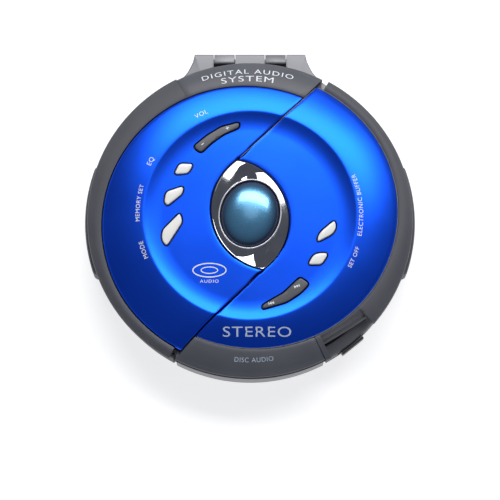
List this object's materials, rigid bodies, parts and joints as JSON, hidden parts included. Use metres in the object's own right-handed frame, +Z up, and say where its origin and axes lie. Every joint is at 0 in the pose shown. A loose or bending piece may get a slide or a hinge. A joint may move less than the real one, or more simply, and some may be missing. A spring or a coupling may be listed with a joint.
{
  "type": "portable cd player",
  "caption": "Round portable disc player with a hinged blue lid, domed display window, keys, side grips, disc mechanism and battery bay.",
  "frame": {"origin": "centre of the footprint on the surface the player stands on, directly under the middle of its bounding box; the disc's axis is 2.7 mm in front of it", "axes": "+Z up out of the lid, +Y towards the hinge at the back, +X to the right seen from above with the hinge at the back"},
  "size_m": [0.161, 0.1626, 0.0404],
  "materials": {
    "silver_plastic": "satin silver-grey moulded plastic",
    "dark_rubber": "soft-touch dark grey rubber",
    "dark_plastic": "fine-textured black plastic",
    "blue_metallic": "satin metallic blue lacquer",
    "chrome": "bright plated",
    "white_plastic": "semi-gloss off-white",
    "steel": "plain bright steel",
    "circuit_board": "green solder mask",
    "cell_wrap": "printed cell wrap, no marks",
    "brass": "turned",
    "nylon": "natural nylon",
    "window": "tinted glossy blue window",
    "lens_glass": "clear coated lens",
    "membrane": "silicone key mat"
  },
  "bodies": {
    "base": {"bottom_case": "silver_plastic", "armour_left": "dark_rubber", "armour_right": "dark_rubber", "grip_left": "dark_rubber", "grip_right": "dark_rubber", "foot_1": "dark_rubber", "foot_2": "dark_rubber", "foot_3": "dark_rubber", "foot_4": "dark_rubber", "damper_1": "dark_rubber", "damper_2": "dark_rubber", "damper_3": "dark_rubber", "deck": "dark_plastic", "battery_bay": "dark_plastic", "headphone_jack": "dark_plastic", "dc_jack": "dark_plastic", "case_screw_1": "steel", "case_screw_2": "steel", "case_screw_3": "steel", "contact_spring_1": "steel", "contact_spring_2": "steel", "contact_plate": "steel", "hinge_pin": "steel", "hinge_spring": "steel", "latch_spring": "steel", "mech_chassis": "steel", "spindle_motor": "steel", "feed_motor": "steel", "guide_rod": "steel", "main_board": "circuit_board", "battery_1": "cell_wrap", "battery_2": "cell_wrap"},
    "lid": {"lid_rim": "dark_rubber", "lid_rear_cap": "dark_rubber", "lid_front_cap": "dark_rubber", "lid_panel_left": "blue_metallic", "lid_panel_right": "blue_metallic", "eye_bezel": "chrome", "display_lens": "window", "display_module": "dark_plastic", "lid_liner": "dark_plastic", "key_board": "circuit_board", "key_membrane": "membrane", "hinge_arm_left": "silver_plastic", "hinge_arm_right": "silver_plastic"},
    "battery_cover": {"battery_cover": "silver_plastic"},
    "hold_switch": {"hold_switch": "silver_plastic"},
    "open_lever": {"open_lever": "silver_plastic"},
    "turntable": {"turntable": "dark_plastic"},
    "lead_screw": {"lead_screw": "brass"},
    "feed_pinion": {"feed_pinion": "nylon"},
    "pickup_sled": {"pickup_sled": "dark_plastic"},
    "objective_lens": {"objective_lens": "lens_glass"},
    "eq_button": {"eq_button": "white_plastic"},
    "memory_button": {"memory_button": "white_plastic"},
    "mode_button": {"mode_button": "white_plastic"},
    "play_button": {"play_button": "white_plastic"},
    "stop_button": {"stop_button": "white_plastic"},
    "volume_rocker": {"volume_rocker": "dark_plastic"},
    "skip_rocker": {"skip_rocker": "dark_plastic"}
  },
  "joints": [
    {"name": "lid_hinge", "type": "hinge", "parent": "base", "child": "lid", "pos_m": [0, 0.0781, 0.0205], "axis": [-1, 0, 0], "range_deg": [0, 68]},
    {"name": "open_lever_slide", "type": "slide", "parent": "base", "child": "open_lever", "axis": [-0.7771, -0.6293, 0], "range_m": [0, 0.003], "stiffness_N_per_m": 300, "springref_m": -0.001, "deforming": ["latch_spring"]},
    {"name": "hold_switch_slide", "type": "slide", "parent": "base", "child": "hold_switch", "axis": [0.4695, 0.8829, 0], "range_m": [0, 0.003]},
    {"name": "battery_cover_slide", "type": "slide", "parent": "base", "child": "battery_cover", "axis": [0, -1, 0], "range_m": [0, 0.01]},
    {"name": "turntable_spin", "type": "hinge", "parent": "base", "child": "turntable", "pos_m": [0, -0.0027, 0.021], "axis": [0, 0, 1], "continuous": true},
    {"name": "sled_slide", "type": "slide", "parent": "base", "child": "pickup_sled", "axis": [0, 1, 0], "range_m": [0, 0.033]},
    {"name": "lead_screw_spin", "type": "hinge", "parent": "base", "child": "lead_screw", "pos_m": [-0.0085, 0.0093, 0.014], "axis": [0, 1, 0], "range_deg": [-5, 3965]},
    {"name": "feed_pinion_spin", "type": "hinge", "parent": "base", "child": "feed_pinion", "pos_m": [-0.01386, 0.0093, 0.01205], "axis": [0, 1, 0], "range_deg": [-9910, 10]},
    {"name": "lens_focus", "type": "slide", "parent": "pickup_sled", "child": "objective_lens", "axis": [0, 0, 1], "range_m": [-0.0003, 0.0004], "stiffness_N_per_m": 30},
    {"name": "eq_button_press", "type": "slide", "parent": "lid", "child": "eq_button", "axis": [0, 0, -1], "range_m": [0, 0.0005], "stiffness_N_per_m": 500, "springref_m": -0.0002},
    {"name": "memory_button_press", "type": "slide", "parent": "lid", "child": "memory_button", "axis": [0, 0, -1], "range_m": [0, 0.0005], "stiffness_N_per_m": 500, "springref_m": -0.0002},
    {"name": "mode_button_press", "type": "slide", "parent": "lid", "child": "mode_button", "axis": [0, 0, -1], "range_m": [0, 0.0005], "stiffness_N_per_m": 500, "springref_m": -0.0002},
    {"name": "play_button_press", "type": "slide", "parent": "lid", "child": "play_button", "axis": [0, 0, -1], "range_m": [0, 0.0005], "stiffness_N_per_m": 500, "springref_m": -0.0002},
    {"name": "stop_button_press", "type": "slide", "parent": "lid", "child": "stop_button", "axis": [0, 0, -1], "range_m": [0, 0.0005], "stiffness_N_per_m": 500, "springref_m": -0.0002},
    {"name": "volume_rocker_tilt", "type": "hinge", "parent": "lid", "child": "volume_rocker", "pos_m": [-0.01635, 0.0356, 0.0325], "axis": [0.5077, -0.8615, 0], "range_deg": [-2, 2], "stiffness_Nm_per_rad": 0.05},
    {"name": "skip_rocker_tilt", "type": "hinge", "parent": "lid", "child": "skip_rocker", "pos_m": [0.01715, -0.0413, 0.0325], "axis": [0.5382, -0.8428, 0], "range_deg": [-2, 2], "stiffness_Nm_per_rad": 0.05}
  ],
  "couplings": [
    {"joint": "lead_screw_spin", "follows": "sled_slide", "rad_per_m": 2094.4},
    {"joint": "feed_pinion_spin", "follows": "sled_slide", "rad_per_m": -5236}
  ]
}
